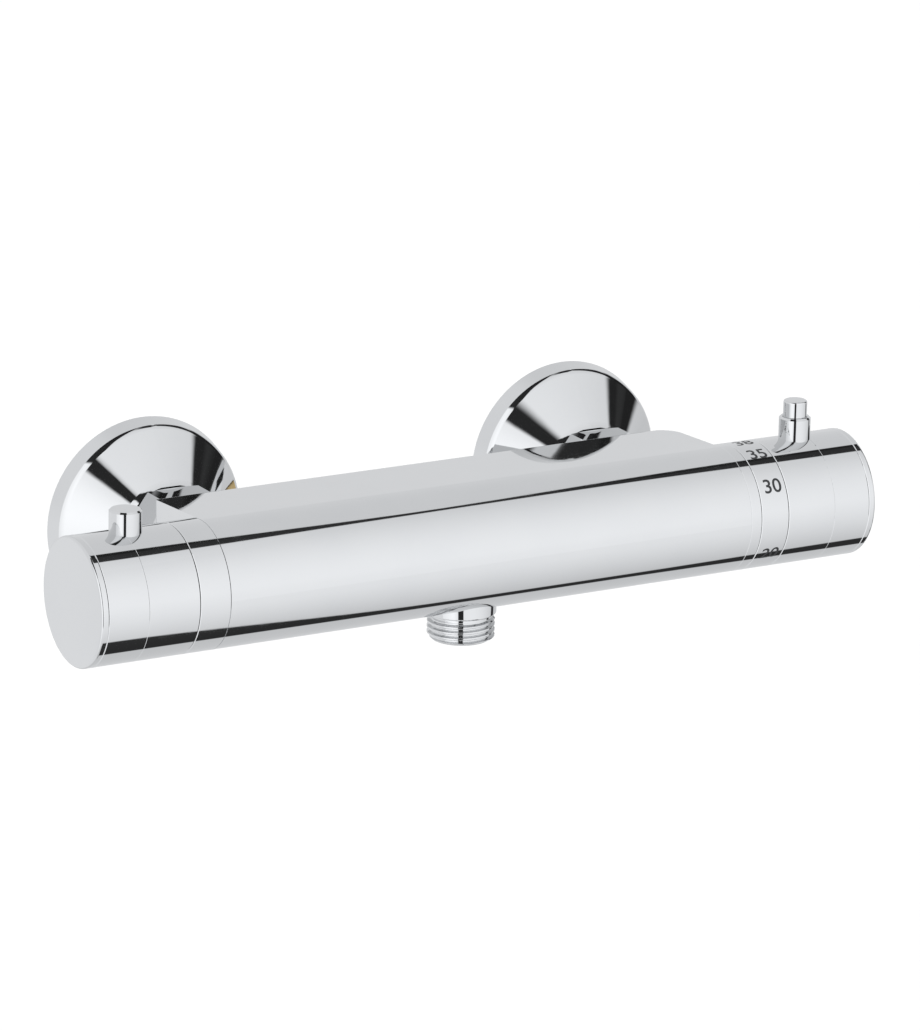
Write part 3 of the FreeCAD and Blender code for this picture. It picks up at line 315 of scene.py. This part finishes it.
def flat_number(text):
    """Mesh of a number as the font draws it."""
    curve = bpy.data.curves.new("number_" + text, "FONT")
    curve.body = text
    curve.extrude = LETTER_DEPTH
    curve.offset = LETTER_WEIGHT
    curve.resolution_u = LETTER_SMOOTHNESS
    flat = bpy.data.objects.new("flat_" + text, curve)
    bpy.context.scene.collection.objects.link(flat)
    bpy.context.view_layer.update()
    graph = bpy.context.evaluated_depsgraph_get()
    mesh = bpy.data.meshes.new_from_object(flat.evaluated_get(graph))
    bpy.data.objects.remove(flat)
    return mesh


def number(text, place, angle):
    """Printed number wrapped on the ring, with its middle at a place along the bar."""
    mesh = flat_number(text)
    low = Vector([min(v.co[i] for v in mesh.vertices) for i in range(3)])
    high = Vector([max(v.co[i] for v in mesh.vertices) for i in range(3)])
    shape = bmesh.new()
    shape.from_mesh(mesh)
    for row in range(1, LETTER_ROWS):
        cut = low.y + (high.y - low.y) * row / LETTER_ROWS
        everything = shape.verts[:] + shape.edges[:] + shape.faces[:]
        bmesh.ops.bisect_plane(shape, geom=everything, plane_co=(0, cut, 0), plane_no=(0, 1, 0))
    bmesh.ops.remove_doubles(shape, verts=shape.verts[:], dist=WELD)
    for vert in shape.verts:
        across = ((vert.co.x - low.x) / (high.x - low.x) - 0.5) * NUMBER_WIDTH
        up = ((vert.co.y - low.y) / (high.y - low.y) - 0.5) * NUMBER_HEIGHT
        radius = BAR_R + (INK_THICKNESS if vert.co.z > 0 else -INK_ROOT)
        turn = math.radians(angle) - up / BAR_R
        forward, rise = radius * math.sin(turn), radius * math.cos(turn)
        vert.co = Vector((place + across, AXIS_Y - forward, AXIS_Z + rise)) * MM
    bmesh.ops.recalc_face_normals(shape, faces=shape.faces[:])
    shape.to_mesh(mesh)
    shape.free()
    mesh.name = "number_" + text
    mesh.set_sharp_from_angle(angle=math.radians(LETTER_EDGE))
    dress(make_object("number_" + text, mesh, INK), "fixed_valve")


for text, angle in NUMBERS:
    number(text, RING_MIDDLE + NUMBER_SHIFT, angle)


# ---- Outlet thread ------------------------------------------------------------------------------

# The outlet's plain piece in the frame gives its radius, and where it starts and ends below
# the bar's axis. The threaded one stays inside it by the insets.
nipple_low, nipple_high = box_mm("outlet_nipple")
CREST_INSET = 0.0175
MOUTH_INSET = 0.05
SEAT_INSET = 0.2
NECK_INSET = 0.1               # from the root of the thread

THREAD_PITCH = 1.814
THREAD_DEPTH = 1.06
THREAD_LENGTH = 7.0
THREAD_FADE_IN = 1.1
THREAD_FADE_OUT = 0.5
FLANK_SLOPE = 1.75             # of the thread's ridge, in ridge heights per half pitch
GROOVE_SHARE = 0.34            # of a ridge height, cut off at the groove
UNDERCUT = 0.9                 # plain length over the thread
PLAIN_MOUTH = 0.45             # and under it
OUTLET_CHAMFER = 0.35
OUTER_ROUNDING = 0.3
INNER_ROUNDING = 0.35
ROUNDING_STEPS = 4

THREAD_CREST_R = nipple_high[0] - CREST_INSET
THREAD_ROOT_R = THREAD_CREST_R - THREAD_DEPTH
NECK_R = THREAD_ROOT_R - NECK_INSET
OUTLET_BORE_R = 7.0

# Places below the bar's axis, from the mouth up.
OUTLET_END = AXIS_Z - nipple_low[2] - MOUTH_INSET
THREAD_BOTTOM = OUTLET_END - PLAIN_MOUTH
THREAD_TOP = THREAD_BOTTOM - THREAD_LENGTH
NECK_END = THREAD_TOP - UNDERCUT
OUTLET_SEAT = AXIS_Z - nipple_high[2] + SEAT_INSET

OUTLET_SEGMENTS = 144
THREAD_ROWS = 120
OUTLET_EDGE = 38               # degrees


def clamped(value):
    """Value held between 0 and 1."""
    return min(1.0, max(0.0, value))


def thread_radius(along, turn):
    """Radius of the thread at a place and an angle: a rounded ridge that fades at both ends."""
    phase = ((along / THREAD_PITCH - turn / (2 * math.pi)) % 1.0) * 2 - 1
    flank = clamped((1.0 - abs(phase)) * FLANK_SLOPE - GROOVE_SHARE)
    height = flank * flank * (3 - 2 * flank)
    fade = clamped((along - THREAD_TOP) / THREAD_FADE_IN)
    fade *= clamped((THREAD_BOTTOM - along) / THREAD_FADE_OUT)
    return THREAD_ROOT_R + (THREAD_CREST_R - THREAD_ROOT_R) * height * fade


def outlet_rings():
    """Closed run of rings of (along, radius) points: neck, thread, mouth and bore."""
    turns = [2 * math.pi * k / OUTLET_SEGMENTS for k in range(OUTLET_SEGMENTS)]
    neck = [(OUTLET_SEAT, NECK_R), (NECK_END, NECK_R), (NECK_END, THREAD_ROOT_R)]
    mouth = rounded([(THREAD_BOTTOM, THREAD_ROOT_R),
                     (OUTLET_END, THREAD_ROOT_R - OUTLET_CHAMFER, OUTER_ROUNDING),
                     (OUTLET_END, OUTLET_BORE_R, INNER_ROUNDING),
                     (OUTLET_SEAT, OUTLET_BORE_R)], ROUNDING_STEPS)[1:]
    rings = [[point] * OUTLET_SEGMENTS for point in neck]
    for row in range(THREAD_ROWS + 1):
        along = THREAD_TOP + (THREAD_BOTTOM - THREAD_TOP) * row / THREAD_ROWS
        rings.append([(along, thread_radius(along, turn)) for turn in turns])
    rings += [[point] * OUTLET_SEGMENTS for point in mouth]
    return rings


def threaded_outlet():
    """Male pipe thread as one rounded helix that runs out at both ends."""
    rings = outlet_rings()
    verts = []
    for ring in rings:
        for k, (along, radius) in enumerate(ring):
            verts.append(OUTLET.point(along, radius, 2 * math.pi * k / OUTLET_SEGMENTS))
    faces = []
    for i in range(len(rings)):
        here = i * OUTLET_SEGMENTS
        there = (i + 1) % len(rings) * OUTLET_SEGMENTS
        for k in range(OUTLET_SEGMENTS):
            m = (k + 1) % OUTLET_SEGMENTS
            faces.append((here + k, there + k, there + m, here + m))
    mesh = bpy.data.meshes.new("outlet_thread")
    mesh.from_pydata(verts, [], faces)
    shape = bmesh.new()
    shape.from_mesh(mesh)
    bmesh.ops.recalc_face_normals(shape, faces=shape.faces[:])
    shape.to_mesh(mesh)
    shape.free()
    mesh.polygons.foreach_set("use_smooth", [True] * len(mesh.polygons))
    mesh.set_sharp_from_angle(angle=math.radians(OUTLET_EDGE))
    outlet = make_object("outlet_thread", mesh, MATERIALS["chrome"])
    dress(outlet, "fixed_valve", ("outlet_nipple",))


threaded_outlet()


# ---- Springs ------------------------------------------------------------------------------------

def press_springs():
    """Each spring gets a mesh of its own; the place of its fixed end is worked out, but the spring
    is not shortened.
    """
    for joint in frame["record"]["behaviour"]["joints"]:
        for spring in joint.get("deforming_nodes", ()):
            node = nodes[spring["node"]]
            letter = spring["mode"][-1]
            index = "xyz".index(letter)
            low, high = box(node)
            anchor = [(low[k] + high[k]) / 2 for k in range(3)]
            anchor[index] = spring["fixed_end_" + letter + "_m"]
            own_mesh(node)


press_springs()


# ---- Studio -------------------------------------------------------------------------------------

FLOOR_HALF = 14.0              # metres, as is the height
FLOOR_HEIGHT = -0.42
FLOOR_CLOUDS = 1.5


def floor():
    """Plain pale floor well below the part, left out of its reflections."""
    mesh = bpy.data.meshes.new("floor")
    corners = [(-1, -1), (1, -1), (1, 1), (-1, 1)]
    mesh.from_pydata([(x * FLOOR_HALF, y * FLOOR_HALF, FLOOR_HEIGHT) for x, y in corners],
                     [], [(0, 1, 2, 3)])
    material, tree, shader = new_material(
        "floor", metallic=0.0, color=(0.93, 0.93, 0.93), roughness=0.9)
    clouds = noise(tree, coordinates(tree), scale=FLOOR_CLOUDS)
    tint(tree, shader, clouds, dark=(0.925, 0.925, 0.925), light=(0.935, 0.935, 0.935))
    obj = make_object("floor", mesh, material)
    obj.visible_glossy = False


class WorldMath:
    """Small helper for the studio's light as a function of direction."""

    def __init__(self, tree):
        self.tree = tree

    def op(self, kind, first, second=None, third=None):
        """One math node on values or other nodes' outputs."""
        node = self.tree.nodes.new("ShaderNodeMath")
        node.operation = kind
        for index, value in enumerate((first, second, third)):
            if value is None:
                continue
            if isinstance(value, (int, float)):
                node.inputs[index].default_value = value
            else:
                self.tree.links.new(value, node.inputs[index])
        return node.outputs[0]

    def add(self, first, second):
        return self.op("ADD", first, second)

    def times(self, first, second):
        return self.op("MULTIPLY", first, second)

    def times_add(self, first, second, third):
        return self.op("MULTIPLY_ADD", first, second, third)

    def ramp(self, value, start, end, low=0.0, high=1.0):
        """Smooth change from low to high, or the other way, between start and end."""
        node = self.tree.nodes.new("ShaderNodeMapRange")
        node.interpolation_type = "SMOOTHSTEP"
        node.inputs["From Min"].default_value = start
        node.inputs["From Max"].default_value = end
        node.inputs["To Min"].default_value = low
        node.inputs["To Max"].default_value = high
        self.tree.links.new(value, node.inputs["Value"])
        return node.outputs["Result"]

    def band(self, value, centre, half, soft):
        """1 inside a band and 0 outside it."""
        away = self.op("ABSOLUTE", self.op("SUBTRACT", value, centre))
        return self.ramp(away, half - soft, half + soft, 1.0, 0.0)

    def wide_band(self, value, centre, half, soft):
        """The same where the band's centre and half width are themselves worked out."""
        away = self.op("ABSOLUTE", self.op("SUBTRACT", value, centre))
        return self.ramp(self.op("SUBTRACT", away, half), -soft, soft, 1.0, 0.0)

    def plane(self, direction, normal):
        """How far a direction points along a normal."""
        total = self.times(direction[0], normal[0])
        total = self.times_add(direction[1], normal[1], total)
        return self.times_add(direction[2], normal[2], total)


# A direction's x, y and z are its shares to the part's right, to the wall and up. Across and
# towards are its level shares to the camera's right and to the camera.
ACROSS = (0.8706, -0.4919, 0.0)
TOWARDS = (-0.497, -0.868, 0.0)

# The studio's light is made of ramps and bands over these shares. A ramp holds where it starts
# and ends, and its values there (0 and 1 where they aren't given). A band holds its middle,
# its half width and its softness.
FRONT_Y = (-0.02, 0.02, 1.0, 0.0)
FRONT_BASE = 1.096
FRONT_SLOPE = -0.481           # the front wall is brighter away from the part's plane
FLOOR_LOSS = 0.2               # and darker downwards
NEAR_LEFT_ACROSS = (-0.45, -0.05, 0.45, 0.0)
NEAR_LEFT_TOWARDS = (0.0, 0.3)
LEFT_X = (-0.3, 0.1, 1.0, 0.0)
LEFT_Z = (-0.2, 0.2, 0.29, 0.12)
BACK_Z = (-0.2, 0.2, 0.94, 1.05)

ABOVE_Z = (-0.1, 0.1)
LEFT_END_X = (0.425, 0.474, 1.0, 0.0)
TOP_SEAM_MIDDLE = (0.465, 0.51, 0.022, 0.122)
TOP_SEAM_HALF = (0.474, 0.53, 0.036, 0.121)
TOP_SEAM_LEFT = 0.095          # the left end's extra half width
TOP_SEAM_SOFT = 0.012
LOW_SEAM_MIDDLE = 0.04
LOW_SEAM_DROP = -0.21          # the left end's shift
LOW_SEAM_HALF = (0.495, 0.53, 0.075, 0.13)
LOW_SEAM_LEFT = 0.155
LOW_SEAM_SOFT = 0.02
LOW_SEAM_SHARE = 0.98
SEAM_START_X = (0.1, 0.35)
SEAM_END_X = (0.95, 0.985, 1.0, 0.0)

PATCH_X = (0.64, 0.73)
PATCH_Y = (0.05, 0.24, 0.03)
PATCH_Z = (0.3, 0.2, 0.04)
SLIT_ACROSS = (0.0, 0.145, 0.02)
SLIT_TOWARDS = (0.0, 0.1)
SLIT_Z = (0.1, 0.58, 0.05)
HOOD_RIGHT = (0.778, 0.138, 0.616)      # the hood lies on the side of both normals
HOOD_RIGHT_EDGE = (-0.06, 0.0)
HOOD_LEFT = (-0.751, 0.632, 0.181)
HOOD_LEFT_EDGE = (-0.005, 0.035)
HOOD_Y = (0.0, 0.06, 1.0, 0.0)
DARKENING = 0.975              # share of the light that a dark zone takes away

STUDIO_COLOR = (0.79, 0.798, 0.812, 1.0)
PLAIN_COLOR = (1.0, 1.0, 1.0, 1.0)
PLAIN_STRENGTH = 1.12


def tent_light(calc, x, y, z, across, towards):
    """The tent's white walls, brighter at the left and near the camera's left."""
    in_front = calc.ramp(y, *FRONT_Y)
    front = calc.times_add(y, FRONT_SLOPE, FRONT_BASE)
    front = calc.add(front, calc.times(calc.op("MINIMUM", z, 0.0), FLOOR_LOSS))
    near_left = calc.times(calc.ramp(across, *NEAR_LEFT_ACROSS),
                           calc.ramp(towards, *NEAR_LEFT_TOWARDS))
    front = calc.add(front, near_left)
    left = calc.times(calc.ramp(x, *LEFT_X), calc.ramp(z, *LEFT_Z))
    back = calc.add(calc.ramp(z, *BACK_Z), left)
    behind = calc.op("SUBTRACT", 1.0, in_front)
    return calc.add(calc.times(in_front, front), calc.times(behind, back))


def tent_seams(calc, x, y, z):
    """Dark seams over and under the bar, wider towards its ends and lowest at the left."""
    above = calc.ramp(z, *ABOVE_Z)
    below = calc.op("SUBTRACT", LOW_SEAM_SHARE, above)
    left_end = calc.ramp(x, *LEFT_END_X)
    top_half = calc.times_add(left_end, TOP_SEAM_LEFT, calc.ramp(x, *TOP_SEAM_HALF))
    top = calc.wide_band(y, calc.ramp(x, *TOP_SEAM_MIDDLE), top_half, TOP_SEAM_SOFT)
    low_half = calc.times_add(left_end, LOW_SEAM_LEFT, calc.ramp(x, *LOW_SEAM_HALF))
    low_middle = calc.times_add(left_end, LOW_SEAM_DROP, LOW_SEAM_MIDDLE)
    low = calc.wide_band(y, low_middle, low_half, LOW_SEAM_SOFT)
    seams = calc.add(calc.times(above, top), calc.times(below, low))
    seams = calc.times(seams, calc.ramp(x, *SEAM_START_X))
    return calc.times(seams, calc.ramp(x, *SEAM_END_X))


def right_patch(calc, x, y, z):
    """Dark patch at the part's right."""
    return calc.times(calc.ramp(x, *PATCH_X),
                      calc.times(calc.band(y, *PATCH_Y), calc.band(z, *PATCH_Z)))


def slit(calc, z, across, towards):
    """Dark slit behind the camera."""
    level = calc.times(calc.band(across, *SLIT_ACROSS), calc.ramp(towards, *SLIT_TOWARDS))
    return calc.times(level, calc.band(z, *SLIT_Z))


def hood(calc, x, y, z):
    """Dark hood high in front, on the camera's left, cut off by two slanting planes."""
    wedge = calc.times(calc.ramp(calc.plane((x, y, z), HOOD_RIGHT), *HOOD_RIGHT_EDGE),
                       calc.ramp(calc.plane((x, y, z), HOOD_LEFT), *HOOD_LEFT_EDGE))
    return calc.times(wedge, calc.ramp(y, *HOOD_Y))


def studio_world():
    """White light tent that the chrome reflects, and even white light for all else."""
    world = bpy.data.worlds.new("studio")
    bpy.context.scene.world = world
    world.use_nodes = True
    tree = world.node_tree
    tree.nodes.clear()
    calc = WorldMath(tree)
    place = tree.nodes.new("ShaderNodeTexCoord")
    split = tree.nodes.new("ShaderNodeSeparateXYZ")
    tree.links.new(place.outputs["Generated"], split.inputs["Vector"])
    x, y, z = split.outputs
    across = calc.plane((x, y, z), ACROSS)
    towards = calc.plane((x, y, z), TOWARDS)

    light = tent_light(calc, x, y, z, across, towards)
    dark = calc.add(calc.add(tent_seams(calc, x, y, z), right_patch(calc, x, y, z)),
                    calc.add(slit(calc, z, across, towards), hood(calc, x, y, z)))
    dark = calc.op("MINIMUM", dark, 1.0)
    light = calc.times(light, calc.times_add(dark, -DARKENING, 1.0))

    studio = tree.nodes.new("ShaderNodeBackground")
    studio.inputs["Color"].default_value = STUDIO_COLOR
    tree.links.new(light, studio.inputs["Strength"])
    plain = tree.nodes.new("ShaderNodeBackground")
    plain.inputs["Color"].default_value = PLAIN_COLOR
    plain.inputs["Strength"].default_value = PLAIN_STRENGTH
    path = tree.nodes.new("ShaderNodeLightPath")
    mix = tree.nodes.new("ShaderNodeMixShader")
    tree.links.new(path.outputs["Is Glossy Ray"], mix.inputs["Fac"])
    tree.links.new(plain.outputs["Background"], mix.inputs[1])
    tree.links.new(studio.outputs["Background"], mix.inputs[2])
    out = tree.nodes.new("ShaderNodeOutputWorld")
    tree.links.new(mix.outputs["Shader"], out.inputs["Surface"])


CAMERA_PLACE = (-0.93236, -1.69487, 0.58088)
CAMERA_RIGHT = (0.87046863, -0.49183042, 0.01967762)
CAMERA_UP = (0.12469689, 0.25901561, 0.95778996)
CAMERA_AHEAD = (0.47616704, 0.83127237, -0.28679468)
SENSOR = 36.0
FOCAL_PIXELS = 6397.8          # lens length in the photograph's own pixels
PHOTO_HEIGHT = 1030.0          # pixels along the photograph's longer side
CLIP_END = 100.0


def camera():
    """The photograph's view: its place, its axes and its long lens."""
    data = bpy.data.cameras.new("camera")
    data.sensor_width = SENSOR
    data.sensor_fit = "AUTO"
    data.lens = FOCAL_PIXELS * SENSOR / PHOTO_HEIGHT
    data.clip_end = CLIP_END
    obj = bpy.data.objects.new("camera", data)
    bpy.context.scene.collection.objects.link(obj)
    axes = Matrix((CAMERA_RIGHT, CAMERA_UP, -Vector(CAMERA_AHEAD))).transposed()
    obj.matrix_world = Matrix.Translation(Vector(CAMERA_PLACE)) @ axes.to_4x4()
    bpy.context.scene.camera = obj


floor()
studio_world()
camera()
bpy.context.scene.view_settings.view_transform = "Standard"
